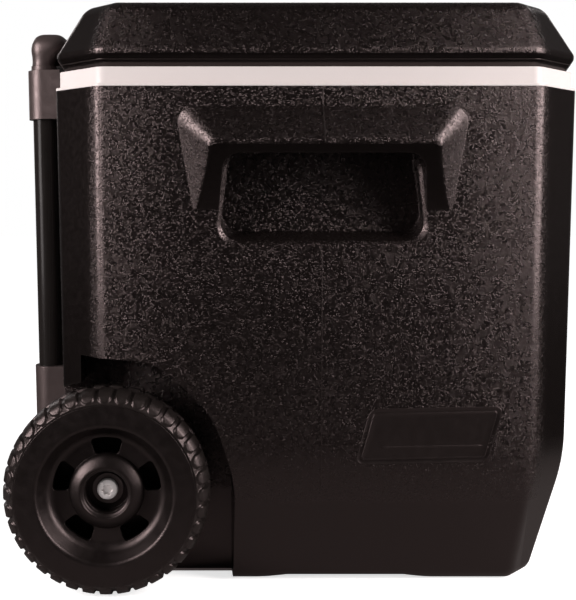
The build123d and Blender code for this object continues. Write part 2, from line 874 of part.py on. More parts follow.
def cups(grow):
    """The four cup recesses in the lid's top, with grow of material round them."""
    top_x = (rear_x + slope_handle, front_x - slope_hinge)
    middle = (top_x[0] + top_x[1]) / 2
    half_x = (top_x[1] - top_x[0]) / 2 - cup_inset_x
    half_y = end_y - slope_end - cup_inset_y
    upward = (Align.CENTER, Align.CENTER, Align.MIN)
    cup = Cylinder(cup_radius + grow, cup_depth + grow, align=upward)
    lip = Cone(cup_radius + grow, cup_radius + grow + 2 * cup_lip, 2 * cup_lip, align=upward)
    cup += Pos(0, 0, cup_depth + grow - cup_lip) * lip
    floor = lid_top - cup_depth - grow
    places = [(middle + i * half_x, j * half_y) for i in (-1, 1) for j in (-1, 1)]
    form = [Pos(x, y, floor) * cup for x, y in places]
    return form[0] + form[1:]


def hinge_pads(grow):
    """The blocks of both hinge arms in the lid's edge, before they are trimmed to its outside."""
    half = arm_pad_width / 2 + grow
    x = (front_x - arm_pad_depth - grow, front_x + reach)
    pad = span_box(x, (-half, half), (lid_bottom, lid_bottom + arm_pad_height + grow))
    return Pos(0, -hinge_spacing / 2, 0) * pad + Pos(0, hinge_spacing / 2, 0) * pad


def lid_shell():
    """Black lid skin, open below, with the cup recesses and the seats of the hinge arms."""
    return lid_outer() - (lid_form(lid_wall) - cups(lid_wall)) - cups(0) - hinge_pads(0)


def lid_pan(inset, top):
    """The pan's plate and its plug as a full block; inset moves every face in."""
    edge = lip_tuck + lid_wall + fit_gap + inset
    plate_cut = inner_cut(corner_cut, edge)
    plate = plan(body_depth - 2 * edge, body_length - 2 * edge, plate_cut, crease_round)
    plate = Pos(body_x, 0, lid_bottom + inset) * plate
    side = tub_wall + plug_gap + inset
    plug = Pos(body_x, 0, lid_bottom - plug_depth + inset) * RectangleRounded(
        tub_depth - 2 * side, tub_length - 2 * side, tub_corner - side
    )
    return extrude(plate, top - inset) + extrude(plug, plug_depth + top - inset)


def lid_liner():
    """Pale pan under the lid: a plate that closes it and a shallow plug that sits in the tub's mouth."""
    pan = lid_pan(0, tub_wall)
    side = 2 * tub_wall + plug_gap
    hollow_plan = Pos(body_x, 0, lid_bottom - plug_depth + tub_wall) * RectangleRounded(
        tub_depth - 2 * side, tub_length - 2 * side, tub_corner - side
    )
    return pan - extrude(hollow_plan, plug_depth + tub_wall) - hinge_pads(fit_gap)


def lid_foam():
    """Insulation inside the lid, resting on the pan."""
    foam = lid_form(lid_wall + fit_gap)
    floor = lid_bottom + tub_wall + fit_gap
    foam &= span_box((rear_x, front_x), (-end_y, end_y), (floor, lid_top))
    return foam - cups(lid_wall + fit_gap) - hinge_pads(fit_gap)


def hinge_rod(radius, start, stop):
    """A rod on the hinge axis between two places along Y, about the near hinge."""
    rod = Rot(-90, 0, 0) * Cylinder(radius, stop - start, align=(Align.CENTER, Align.CENTER, Align.MIN))
    return Pos(hinge_x, start - hinge_spacing / 2, hinge_z) * rod


arm_half = arm_length / 2
knuckle_start = arm_half + fit_gap
knuckle_end = knuckle_start + knuckle_length


def hinge_neck(start, stop, z):
    """A flat neck on the hinge axis between two places along Y, about the near hinge."""
    x = (hinge_x - arm_neck / 2, hinge_x + arm_neck / 2)
    return Pos(0, -hinge_spacing / 2, 0) * span_box(x, (start, stop), z)


def hinge_base():
    """Near hinge base: plate sunk flush in the front wall, with two knuckles standing up from it."""
    half = hinge_plate_width / 2 - seat_gap
    side = -hinge_spacing / 2
    reach_box = span_box((body_x, front_x + reach), (side - half, side + half), (0, body_height))
    base = body_form() & hinge_seat(0) & reach_box
    for start, stop in ((-knuckle_end, -knuckle_start), (knuckle_start, knuckle_end)):
        base += hinge_rod(knuckle_radius, start, stop) + hinge_neck(start, stop, (body_height, hinge_z))
    base -= hinge_rod(pin_radius + seat_gap / 2, -knuckle_end, knuckle_end)
    for place in hinge_screw_places():
        base -= screw(place, hinge_screw_length, seat_gap)
    return base


def hinge_arm():
    """Near hinge arm: knuckle between the base's two, neck up to a block let into the lid's edge."""
    side = -hinge_spacing / 2
    near = (side - arm_pad_width, side + arm_pad_width)
    pad = lid_outer() & hinge_pads(0) & span_box((body_x, front_x + reach), near, (0, lid_top))
    arm = pad + hinge_neck(-arm_half, arm_half, (hinge_z, lip_z))
    arm += hinge_rod(knuckle_radius, -arm_half, arm_half)
    return arm - hinge_rod(pin_radius + run_fit, -arm_half, arm_half)


def hinge_pin():
    """Near hinge pin, held in the base's knuckles."""
    return hinge_rod(pin_radius, -knuckle_end, knuckle_end)


gasket_end = drain_recess_floor + drain_gasket_height
flange_end = gasket_end + drain_flange
neck_end = flange_end + drain_neck
tub_end = tub_length / 2 - tub_wall - slope * (rim_top - drain_z)
nut_start = tub_end - drain_nut_height


def drain_fitting():
    """Drain tube through the far wall, with the flange outside and the neck that the cap screws on."""
    tube = drain_rod(drain_tube_radius, nut_start, neck_end)
    tube += drain_rod(drain_flange_radius, gasket_end, flange_end)
    return tube - drain_rod(drain_bore, 0, end_y + reach)


def drain_gasket():
    """Rubber ring between the drain's flange and the wall."""
    ring = drain_rod(drain_flange_radius - seat_gap, drain_recess_floor, gasket_end)
    return ring - drain_rod(drain_tube_radius + seat_gap, 0, end_y)


def drain_nut():
    """Six-sided nut on the drain tube inside the tub."""
    plan = Plane((drain_x, nut_start - fit_gap, drain_z), x_dir=(1, 0, 0), z_dir=(0, 1, 0))
    nut = extrude(plan * RegularPolygon(drain_nut_radius, 6), drain_nut_height)
    return nut - drain_rod(drain_tube_radius + seat_gap, 0, end_y)


def drain_cap():
    """Screw cap of the drain, ribbed round its edge for the fingers."""
    start = flange_end + side_play
    stop = neck_end + side_play + drain_cap_end
    cap = drain_rod(drain_cap_radius, start, stop)
    cap = fillet(cap.faces().sort_by(Axis.Y)[-1].edges(), drain_rib)
    pitch = 360 / drain_rib_count
    for index in range(drain_rib_count):
        angle = radians(index * pitch)
        shift = Pos(drain_cap_radius * cos(angle), 0, drain_cap_radius * sin(angle))
        cap += shift * drain_rod(drain_rib, start, stop - drain_rib)
    return cap - drain_rod(drain_tube_radius + side_play, 0, neck_end + side_play)


def joined(solids):
    """Separate like solids kept together in one node."""
    return Compound(children=[solid for solid in solids])


nodes = {"body_shell": body_shell(), "liner": liner(), "body_foam": body_foam()}
nodes["lid_shell"] = lid_shell()
nodes["lid_liner"] = lid_liner()
nodes["lid_foam"] = lid_foam()
pairs = {
    "wheel_disc": wheel_disc(),
    "wheel_tyre": wheel_tyre(),
    "wheel_bush": wheel_bush(),
    "axle_bolt": axle_bolt(),
    "axle_washer_outer": axle_washer(washer_start),
    "axle_washer_inner": axle_washer(hub_end + side_play),
    "axle_insert": axle_insert(),
    "tow_bracket_upper": upper_bracket(),
    "tow_bracket_lower": lower_bracket(),
    "tow_tube_outer": outer_tube(),
    "tow_tube_middle": mid_tube(),
    "tow_collar_middle": mid_collar(),
    "tow_tube_inner": inner_tube(),
    "tow_elbow": elbow(),
    "hinge_base": hinge_base(),
    "hinge_arm": hinge_arm(),
    "hinge_pin": hinge_pin(),
    "tow_bracket_screws": joined([screw(place, bracket_screw_length) for place in bracket_places]),
    "hinge_screws": joined([screw(place, hinge_screw_length) for place in hinge_screw_places()[:2]]),
}
for name, piece in pairs.items():
    for side, end in ends.items():
        nodes[name + "_" + side] = mirrored(piece, end)
nodes["tow_grip_core"] = grip_core()
nodes["tow_grip_sleeve"] = grip_sleeve()
nodes["drain_fitting"] = drain_fitting()
nodes["drain_gasket"] = drain_gasket()
nodes["drain_nut"] = drain_nut()
nodes["drain_cap"] = drain_cap()

os.makedirs("parts", exist_ok=True)
for name, piece in nodes.items():
    export_step(piece, "parts/" + name + ".step")
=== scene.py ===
"""Looks of the cooler on wheels: finishes, moulded detail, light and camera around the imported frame."""
import json
import math

import bmesh
import bpy
import numpy as np
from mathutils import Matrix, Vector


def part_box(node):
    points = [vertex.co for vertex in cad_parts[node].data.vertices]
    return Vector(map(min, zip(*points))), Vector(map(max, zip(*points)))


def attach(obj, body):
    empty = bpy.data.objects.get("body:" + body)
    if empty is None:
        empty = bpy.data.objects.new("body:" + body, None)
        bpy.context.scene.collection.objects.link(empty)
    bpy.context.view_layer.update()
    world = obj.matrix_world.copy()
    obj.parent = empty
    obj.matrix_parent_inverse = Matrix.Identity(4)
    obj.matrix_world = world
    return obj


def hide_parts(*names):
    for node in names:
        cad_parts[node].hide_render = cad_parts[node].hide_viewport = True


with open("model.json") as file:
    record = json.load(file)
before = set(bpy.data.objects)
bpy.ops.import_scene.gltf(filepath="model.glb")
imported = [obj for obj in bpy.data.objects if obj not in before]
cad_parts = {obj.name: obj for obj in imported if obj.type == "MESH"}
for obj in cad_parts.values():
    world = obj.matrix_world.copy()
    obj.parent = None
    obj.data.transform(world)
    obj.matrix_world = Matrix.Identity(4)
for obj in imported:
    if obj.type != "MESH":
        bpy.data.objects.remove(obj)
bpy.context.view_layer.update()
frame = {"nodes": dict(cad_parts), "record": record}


def reach(node, axis):
    """Lowest and highest place of a node along one axis, at rest."""
    low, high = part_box(node)
    return low[axis], high[axis]


def size(node, axis):
    """Length of a node along one axis."""
    low, high = reach(node, axis)
    return high - low


def middle(node, axis):
    """Middle of a node along one axis."""
    low, high = reach(node, axis)
    return (low + high) / 2


def outer_face(node, side):
    """Where a node ends along Y, on its side that faces away from the cooler's middle."""
    return reach(node, 1)[0 if side == "near" else 1]


def inner_face(node, side):
    """Where a node ends along Y, on its side that faces the cooler's middle."""
    return reach(node, 1)[1 if side == "near" else 0]


MM = 0.001
TURN = 2 * math.pi
OUTWARD = {"near": -1.0, "far": 1.0}

# End walls: drafted from the top, bent in over an arc, leaning in below it
BODY_X = middle("lid_shell", 0)
WALL_TOP = reach("body_shell", 2)[1]
WALL_HALF = 270.0 * MM
DRAFT = math.tan(math.radians(1.0))
BEND_TOP, BEND_LOW, BEND_RADIUS = 116.9 * MM, 75.8 * MM, 170.0 * MM
SKIRT_LEAN = 0.25
BODY_CUT, BODY_CREASE = 38.5 * MM, 12.0 * MM

# Hood handle on each end wall
HOOD_X = BODY_X + 2.5 * MM
HOOD_TOP = WALL_TOP - 13.4 * MM
HOOD_CREST = HOOD_TOP - 28.5 * MM
HOOD_FACE = WALL_HALF + 22.0 * MM
CREST_ROUND, TOP_ROUND = 1.9 * MM, 3.0 * MM

# Shell's grain: knobs to the metre, their depth, and the slow ripple's share and scale
GRAIN = 880.0
GRAIN_DEPTH = 0.25 * MM
KNOB_FOOT, KNOB_TOP = 0.58, 0.08
PATCH_SHARE, PATCH_BARE, PATCH_FULL = 0.62, 0.22, 0.56
RIPPLE, RIPPLE_SCALE = 0.25, 42.0

# Where the grain fades into smooth plastic: from the middle to the cut corners, at the skirt, on undersides
LID_RIDGE, LID_LEAN = 417.0 * MM, 0.21
CORNER_X = (170.0 * MM, 181.0 * MM)
CORNER_Y = (226.0 * MM, 232.0 * MM)
SKIRT = (72.0 * MM, 66.0 * MM)
UNDERSIDE = (-0.24, -0.34)

# End faces and the lid's top are shaded as if they fell away towards the sides: by BOW times the square of
# the distance past BOW_START, as far as BOW_STOP
BOW_START, BOW_STOP, BOW = 95.0 * MM, 166.0 * MM, 1.0

WARM = (1.0, 0.80, 0.79, 1.0)
NOISE_RANGE = (0.3, 0.7)


class Finish:
    """A node material in the making: a Principled shader, Object coordinates, and short calls for nodes."""

    def __init__(self, name, colour, roughness, **constants):
        self.material = bpy.data.materials.new(name)
        self.material.use_nodes = True
        self.tree = self.material.node_tree
        self.shader = self.tree.nodes["Principled BSDF"]
        self.shader.inputs["Base Color"].default_value = (*colour, 1.0)
        self.shader.inputs["Roughness"].default_value = roughness
        for socket, value in constants.items():
            self.shader.inputs[socket.replace("_", " ")].default_value = value
        self.place = self.add("ShaderNodeTexCoord").outputs["Object"]

    def add(self, kind, settings=None, **inputs):
        """One node; inputs are sockets to link or plain values, by name with underscores or as n0, n1."""
        made = self.tree.nodes.new(kind)
        for key, value in (settings or {}).items():
            setattr(made, key, value)
        for key, value in inputs.items():
            numbered = key[0] == "n" and key[1:].isdigit()
            socket = made.inputs[int(key[1:]) if numbered else key.replace("_", " ")]
            if isinstance(value, bpy.types.NodeSocket):
                self.tree.links.new(value, socket)
            else:
                socket.default_value = value
        return made

    def noise(self, scale, detail=2.0, roughness=0.5, place=None):
        """Noise from 0 to 1 with about that many grains to the metre."""
        made = self.add("ShaderNodeTexNoise", Vector=place or self.place, Scale=scale, Detail=detail,
                        Roughness=roughness)
        return made.outputs["Fac"]

    def cells(self, scale):
        """Distance to the nearest cell middle, for a grain of round bumps."""
        return self.add("ShaderNodeTexVoronoi", Vector=self.place, Scale=scale).outputs["Distance"]

    def part(self, axis):
        """One Object coordinate."""
        return self.add("ShaderNodeSeparateXYZ", Vector=self.place).outputs[axis]

    def maths(self, operation, a, b=0.0):
        """One step of arithmetic."""
        return self.add("ShaderNodeMath", {"operation": operation}, n0=a, n1=b).outputs[0]

    def ease(self, value, low, high):
        """A smooth step of a value from 0 at low to 1 at high."""
        settings = {"interpolation_type": "SMOOTHSTEP"}
        return self.add("ShaderNodeMapRange", settings, Value=value, From_Min=low, From_Max=high).outputs[0]

    def span(self, value, out_low, out_high):
        """Noise stretched from its usual range onto out_low to out_high."""
        low, high = NOISE_RANGE
        made = self.add("ShaderNodeMapRange", Value=value, From_Min=low, From_Max=high, To_Min=out_low,
                        To_Max=out_high)
        return made.outputs[0]

    def blend(self, factor, first, second):
        """Colour between first and second by a factor; 6, 7 and 2 are the Mix node's colour sockets."""
        first, second = ((*c, 1.0) if isinstance(c, tuple) else c for c in (first, second))
        return self.add("ShaderNodeMix", {"data_type": "RGBA"}, n0=factor, n6=first, n7=second).outputs[2]

    def paint(self, socket):
        """Colour of the shader."""
        self.tree.links.new(socket, self.shader.inputs["Base Color"])

    def gloss(self, socket):
        """Roughness of the shader."""
        self.tree.links.new(socket, self.shader.inputs["Roughness"])

    def bump(self, height, distance, strength=1.0, normal=None):
        """Relief of that many metres on the shader's normal."""
        made = self.add("ShaderNodeBump", Height=height, Strength=strength, Distance=distance)
        if normal is not None:
            self.tree.links.new(normal, made.inputs["Normal"])
        self.tree.links.new(made.outputs[0], self.shader.inputs["Normal"])

    def soft_edges(self, radius):
        """Edges shaded as if rounded by the radius."""
        return self.add("ShaderNodeBevel", {"samples": 4}, Radius=radius).outputs[0]


def smooth_places(f, off_x):
    """1 on the shell's cut corners, skirt and undersides, 0 on its flat faces; the lid's slope leans in."""
    y, z = f.part("Y"), f.part("Z")
    lean = f.maths("MULTIPLY", f.maths("MAXIMUM", f.maths("SUBTRACT", z, LID_RIDGE), 0.0), LID_LEAN)
    corner_x = f.ease(f.maths("ADD", off_x, lean), *CORNER_X)
    corner_y = f.ease(f.maths("ADD", f.maths("ABSOLUTE", y), lean), *CORNER_Y)
    corner = f.maths("MINIMUM", corner_x, corner_y)
    normal = f.add("ShaderNodeNewGeometry").outputs["Normal"]
    under = f.ease(f.add("ShaderNodeSeparateXYZ", Vector=normal).outputs["Z"], *UNDERSIDE)
    return f.maths("MAXIMUM", f.maths("MAXIMUM", corner, f.ease(z, *SKIRT)), under)


def shell_finish():
    """Moulded black: a grain of round knobs in patches on the flat faces, and a faint bow to the sides."""
    f = Finish("black_shell", (0.0070, 0.0055, 0.0052), 0.4, Specular_IOR_Level=0.75, Specular_Tint=WARM)
    off_x = f.maths("ABSOLUTE", f.maths("SUBTRACT", f.part("X"), BODY_X))
    plain = smooth_places(f, off_x)
    grain = f.maths("SUBTRACT", 1.0, plain)
    knobs = f.ease(f.cells(GRAIN), KNOB_FOOT, KNOB_TOP)
    patches = f.ease(f.noise(PATCH_SHARE * GRAIN, 1.0), PATCH_BARE, PATCH_FULL)
    pebbles = f.maths("MULTIPLY", f.maths("MULTIPLY", knobs, patches), grain)
    ripple = f.maths("MULTIPLY", f.noise(RIPPLE_SCALE, 2.0), RIPPLE)
    past = f.maths("SUBTRACT", f.maths("MINIMUM", off_x, BOW_STOP), BOW_START)
    edge = f.maths("MAXIMUM", past, 0.0)
    bow = f.maths("MULTIPLY", f.maths("MULTIPLY", edge, edge), -BOW / GRAIN_DEPTH)
    relief = f.maths("ADD", f.maths("ADD", pebbles, ripple), bow)
    f.bump(relief, GRAIN_DEPTH, 1.0, f.soft_edges(1.2 * MM))
    stippled = f.blend(f.noise(9.0, 3.0), (0.0028, 0.0020, 0.0018), (0.0040, 0.0029, 0.0027))
    f.paint(f.blend(plain, stippled, (0.0028, 0.0021, 0.0019)))
    f.gloss(f.maths("ADD", f.span(f.noise(260.0), 0.20, 0.26), f.maths("MULTIPLY", grain, 0.05)))
    return f.material


def liner_finish():
    """Pale food-safe plastic: satin, very slightly mottled."""
    f = Finish("pale_liner", (0.57, 0.525, 0.51), 0.4, Specular_IOR_Level=0.45)
    f.paint(f.blend(f.noise(14.0, 3.0), (0.555, 0.508, 0.495), (0.590, 0.542, 0.530)))
    f.gloss(f.span(f.noise(90.0, 2.0), 0.34, 0.48))
    f.bump(f.noise(700.0, 1.0), 0.12 * MM, 0.5, f.soft_edges(0.8 * MM))
    return f.material


def foam_finish():
    """Blown insulation: cream, with fine cells."""
    f = Finish("foam", (0.72, 0.62, 0.42), 0.9)
    f.paint(f.blend(f.noise(60.0, 3.0), (0.68, 0.57, 0.37), (0.78, 0.69, 0.49)))
    f.bump(f.cells(900.0), 0.6 * MM)
    return f.material


def satin_finish(name, dark, light, rough, grain, depth, edge=0.6 * MM, sheen=0.6):
    """Injection-moulded satin black: clouded colour, fine even grain, soft edges."""
    f = Finish(name, dark, sum(rough) / 2, Specular_IOR_Level=sheen, Specular_Tint=WARM)
    f.paint(f.blend(f.noise(22.0, 3.0), dark, light))
    f.gloss(f.span(f.noise(150.0, 2.0), *rough))
    f.bump(f.noise(grain, 2.0), depth, 0.6, f.soft_edges(edge))
    return f.material


def tread_finish():
    """Hard black tread: slightly glossy, with a trace of dust in patches."""
    f = Finish("tread_rubber", (0.012, 0.0095, 0.009), 0.35, Specular_IOR_Level=0.5, Specular_Tint=WARM)
    dust = f.ease(f.noise(48.0, 4.0, 0.6), 0.52, 0.78)
    f.paint(f.blend(dust, (0.0100, 0.0080, 0.0074), (0.0190, 0.0160, 0.0148)))
    f.gloss(f.span(f.noise(180.0), 0.28, 0.38))
    f.bump(f.noise(950.0, 2.0), 0.3 * MM, 0.6)
    return f.material


def metal_finish(name, dark, light, rough, metallic=1.0):
    """Plated or turned metal: a fine grain and a slight cloud in its colour and gloss."""
    f = Finish(name, light, rough[0], Metallic=metallic)
    f.paint(f.blend(f.noise(120.0, 3.0), dark, light))
    f.gloss(f.span(f.noise(240.0, 3.0), *rough))
    f.bump(f.noise(1400.0, 2.0), 0.08 * MM, 0.5, f.soft_edges(0.4 * MM))
    return f.material


def tube_finish():
    """Black lacquer on drawn tube: long faint streaks up the tube in its gloss and relief."""
    f = Finish("tube_metal", (0.010, 0.0085, 0.008), 0.24, Specular_IOR_Level=0.12,
               Coat_Weight=0.04, Coat_Roughness=0.12)
    drawn = f.add("ShaderNodeMapping", Vector=f.place, Scale=(1.0, 1.0, 0.03)).outputs[0]
    f.paint(f.blend(f.noise(30.0, 3.0), (0.0090, 0.0074, 0.0068), (0.0130, 0.0110, 0.0104)))
    f.gloss(f.span(f.noise(700.0, 2.0, place=drawn), 0.18, 0.32))
    f.bump(f.noise(900.0, 2.0, place=drawn), 0.05 * MM, 0.5)
    return f.material


def rubber_finish():
    """Soft rubber: matt, finely grained, with a grey cloud."""
    f = Finish("soft_rubber", (0.012, 0.011, 0.011), 0.6, Specular_IOR_Level=0.4)
    f.paint(f.blend(f.noise(35.0, 3.0), (0.0100, 0.0088, 0.0086), (0.0200, 0.0178, 0.0172)))
    f.gloss(f.span(f.noise(220.0), 0.5, 0.68))
    f.bump(f.noise(1100.0, 2.0), 0.3 * MM, 0.6)
    return f.material


finishes = {
    "black_shell": shell_finish(),
    "pale_liner": liner_finish(),
    "foam": foam_finish(),
    "wheel_plastic": satin_finish(
        "wheel_plastic", dark=(0.0032, 0.0024, 0.0022), light=(0.0046, 0.0036, 0.0033),
        rough=(0.32, 0.42), grain=900.0, depth=0.16 * MM),
    "bush_plastic": satin_finish(
        "bush_plastic", dark=(0.030, 0.028, 0.027), light=(0.040, 0.037, 0.036),
        rough=(0.38, 0.50), grain=700.0, depth=0.1 * MM),
    "insert_brass": metal_finish(
        "insert_brass", dark=(0.56, 0.40, 0.17), light=(0.68, 0.51, 0.24), rough=(0.26, 0.40)),
    "bright_steel": metal_finish(
        "bright_steel", dark=(0.66, 0.62, 0.61), light=(0.82, 0.77, 0.76), rough=(0.36, 0.50),
        metallic=0.3),
    "tube_metal": tube_finish(),
    "soft_rubber": rubber_finish(),
    "drain_plastic": satin_finish(
        "drain_plastic", dark=(0.0100, 0.0086, 0.0082), light=(0.0150, 0.0130, 0.0125),
        rough=(0.36, 0.48), grain=800.0, depth=0.15 * MM),
    "black_plastic": satin_finish(
        "black_plastic", dark=(0.0300, 0.0225, 0.0215), light=(0.0380, 0.0290, 0.0280),
        rough=(0.36, 0.46), grain=750.0, depth=0.2 * MM, edge=0.9 * MM, sheen=1.0),
    "tread": tread_finish(),
    "smooth_black": satin_finish(
        "smooth_black", dark=(0.0062, 0.0046, 0.0042), light=(0.0080, 0.0060, 0.0056),
        rough=(0.30, 0.38), grain=800.0, depth=0.08 * MM),
}

slot_of_node = {row["node"]: row["material_slot"] for row in frame["record"]["subparts"]}
for node_name, node in frame["nodes"].items():
    node.data.materials.clear()
    node.data.materials.append(finishes[slot_of_node[node_name]])


# Surfaces

def quads(rows, columns, wrap_rows=False, wrap_columns=False):
    """Faces of a grid numbered row by row; a wrapped direction joins its last line to its first."""
    row_starts = np.arange(rows - (not wrap_rows))
    column_starts = np.arange(columns - (not wrap_columns))
    r, c = np.meshgrid(row_starts, column_starts, indexing="ij")
    r2, c2 = (r + 1) % rows, (c + 1) % columns
    corners = (r * columns + c, r2 * columns + c, r2 * columns + c2, r * columns + c2)
    return np.stack(corners, axis=-1).reshape(-1, 4)


def ease(value, low, high):
    """Smooth step of an array from 0 at low to 1 at high."""
    t = np.clip((value - low) / (high - low), 0.0, 1.0)
    return t * t * (3.0 - 2.0 * t)


def around(count):
    """Angles of one whole turn in count even steps."""
    return np.arange(count) * TURN / count


def rightward(along):
    """Unit normals to the right of a row of flat directions."""
    normal = np.stack([along[:, 1], -along[:, 0]], axis=1)
    return normal / np.linalg.norm(normal, axis=1)[:, None]


def travelled(profile):
    """Length along an open profile, up to each of its points."""
    return np.concatenate([[0.0], np.cumsum(np.linalg.norm(np.diff(profile, axis=0), axis=1))])


def piece(name, patches, body, finish, replaced=(), sharp=40.0):
    """One object from grid patches (points, faces): doubles merged, faces outward, sharp above an angle."""
    points = np.concatenate([p.reshape(-1, 3) for p, _ in patches])
    starts = np.cumsum([0] + [p.reshape(-1, 3).shape[0] for p, _ in patches[:-1]])
    faces = np.concatenate([f + s for (_, f), s in zip(patches, starts)])
    mesh = bpy.data.meshes.new(name)
    mesh.from_pydata(points.tolist(), [], faces.tolist())
    work = bmesh.new()
    work.from_mesh(mesh)
    bmesh.ops.remove_doubles(work, verts=work.verts, dist=1e-6)
    bmesh.ops.dissolve_degenerate(work, edges=work.edges, dist=1e-7)
    bmesh.ops.recalc_face_normals(work, faces=work.faces)
    work.to_mesh(mesh)
    work.free()
    mesh.shade_smooth()
    mesh.set_sharp_from_angle(angle=math.radians(sharp))
    made = bpy.data.objects.new(name, mesh)
    bpy.context.collection.objects.link(made)
    mesh.materials.append(finishes[finish])
    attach(made, body)
    if replaced:
        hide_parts(*replaced)


def rounded_run(corners, radii, steps):
    """Open profile through the corners, each inner one cut by a quadratic arc from its radius away."""
    corners = np.asarray(corners, float)
    most = 0.49
    t = np.linspace(0.0, 1.0, steps)[:, None]
    runs = [corners[:1]]
    for before, here, after, radius in zip(corners[:-2], corners[1:-1], corners[2:], radii):
        back, on = before - here, after - here
        start = here + back * min(radius / np.linalg.norm(back), most)
        stop = here + on * min(radius / np.linalg.norm(on), most)
        runs.append((1 - t) ** 2 * start + 2 * t * (1 - t) * here + t ** 2 * stop)
    runs.append(corners[-1:])
    return np.concatenate(runs)


def resampled(profile, count):
    """The same open profile with count points spaced evenly along it."""
    along = travelled(profile)
    wanted = np.linspace(0.0, along[-1], count)
    return np.stack([np.interp(wanted, along, profile[:, k]) for k in range(profile.shape[1])], axis=1)


def about_axle(side, radius, angle, depth):
    """Points at a radius and angle about the axle, that far in from the outer face of the wheel's ring."""
    disc = "wheel_disc_" + side
    x = middle(disc, 0) + radius * np.cos(angle)
    y = outer_face(disc, side) - OUTWARD[side] * depth
    z = middle(disc, 2) + radius * np.sin(angle)
    return np.stack([x, y, z], axis=-1)


def inset(node, side):
    """How far a node's outer face lies in from the outer face of the wheel's ring."""
    return OUTWARD[side] * (outer_face("wheel_disc_" + side, side) - outer_face(node, side))


# Wheels

LUGS, LUG_SAMPLES = 36, 22
LUG_HEIGHT = 2.1 * MM
LUG_START, LUG_GAP = 1.7 * MM, 1.3 * MM
LUG_HALF_SHARE, LUG_NOSE_SHARE = 0.385, 0.92
LUG_CORNER = 1.6 * MM
LUG_SLOPE = (-1.0 * MM, 0.35 * MM)
LUG_TAPER, LUG_LEAST = (0.5 * MM, 7.0 * MM), 0.42
TREAD_ACROSS = 92
TREAD_CLEARANCE = 0.05 * MM
TREAD_FLAT, TREAD_CROWN, TREAD_SHOULDER = 1.4 * MM, 0.6 * MM, 7.0 * MM
EDGE_ROUND, SHOULDER_ROUND, CROWN_ROUND = 0.4 * MM, 5.5 * MM, 20.0 * MM

BOLT_SHANK, BOLT_HEAD_DEPTH, BOLT_RECESS = 6.0 * MM, 5.0 * MM, 2.6 * MM
STAR_SHARE, STAR_LOBES, STAR_SWELL = 0.46, 6, 0.15
STAR_FADE = (0.0, 0.9, 1.0, 1.0, 0.8)

# Hub ring's arch in millimetres, (radius, depth) from its outer foot over the crest to its inner foot
HUB_ARCH = [
    (29.25, 13.9), (28.7, 12.3), (27.8, 10.9), (26.4, 9.75), (24.0, 8.25), (21.6, 6.85), (20.4, 6.35),
    (19.5, 6.3), (18.9, 6.7), (18.6, 7.6), (17.6, 8.0), (17.0, 8.5), (16.75, 9.6), (16.7, 13.0)]


def tongue(u, v, half_width, half_length):
    """Signed distance to a rounded rectangle in (u, v): a broad nose at low v, small corners at high v."""
    corner = np.where(v < 0, half_width * LUG_NOSE_SHARE, LUG_CORNER)[:, None]
    qx = np.abs(u)[None, :] - half_width + corner
    qy = np.abs(v)[:, None] - half_length + corner
    return np.hypot(np.maximum(qx, 0), np.maximum(qy, 0)) + np.minimum(np.maximum(qx, qy), 0) - corner


def lug_rise(along, angle, pitch):
    """Height of the lugs from 0 to 1 on a grid of length across the tread and angle round it.

    Two rows of tongues, half a pitch apart, have their noses at the side walls. A lug rises by a smooth step
    of the distance to its outline, and lies lower towards the side wall.
    """
    half_length = (along[-1] / 2 - LUG_GAP - LUG_START) / 2
    rise = np.zeros((len(along), len(angle)))
    for away, shift in ((along, 0.0), (along[-1] - along, 0.5)):
        u = ((angle / TURN * LUGS + shift + 0.5) % 1.0 - 0.5) * pitch
        v = away - (LUG_START + half_length)
        lift = 1.0 - ease(tongue(u, v, LUG_HALF_SHARE * pitch, half_length), *LUG_SLOPE)
        taper = ease(away, *LUG_TAPER)[:, None]
        rise = np.maximum(rise, lift * (LUG_LEAST + (1.0 - LUG_LEAST) * taper))
    return rise


def tread(side):
    """Tread: a closed tyre section carried round the axle, raised along its normal by the lugs' height."""
    tyre = "wheel_tyre_" + side
    outer_radius = size(tyre, 2) / 2
    width = size(tyre, 1)
    bore = size("wheel_disc_" + side, 2) / 2 + TREAD_CLEARANCE
    start = inset(tyre, side)
    stop = start + width
    carcass = outer_radius - LUG_HEIGHT
    section = [(bore, start), (bore + TREAD_FLAT, start), (carcass - TREAD_CROWN, start + TREAD_SHOULDER),
               (carcass, start + width / 2),
               (carcass - TREAD_CROWN, stop - TREAD_SHOULDER), (bore + TREAD_FLAT, stop), (bore, stop)]
    radii = [EDGE_ROUND, SHOULDER_ROUND, CROWN_ROUND, SHOULDER_ROUND, EDGE_ROUND]
    outside = resampled(rounded_run(section, radii, steps=12), TREAD_ACROSS)
    along = travelled(outside)
    normal = rightward(np.gradient(outside, along, axis=0))
    angle = around(LUGS * LUG_SAMPLES)
    rise = lug_rise(along, angle, TURN * outer_radius / LUGS) * LUG_HEIGHT
    raised = outside[:, None, :] + normal[:, None, :] * rise[:, :, None]
    points = about_axle(side, raised[:, :, 0], angle[None, :], raised[:, :, 1])
    bore_depth = np.repeat([[start], [stop]], len(angle), axis=1)
    bore_points = about_axle(side, np.full(bore_depth.shape, bore), angle[None, :], bore_depth)
    patches = [(p, quads(*p.shape[:2], wrap_columns=True)) for p in (points, bore_points)]
    piece("tread_" + side, patches, "wheel_" + side, "tread", [tyre], sharp=50.0)


def turned(side, profile, count, swell=0.0):
    """A profile of (radius, depth) turned about the axle; swell is its share of lobes round the turn."""
    angle = around(count)
    radius = profile[:, :1] * (1.0 + swell * np.cos(STAR_LOBES * angle)[None, :])
    return about_axle(side, radius, angle[None, :], profile[:, 1:] + 0 * radius)


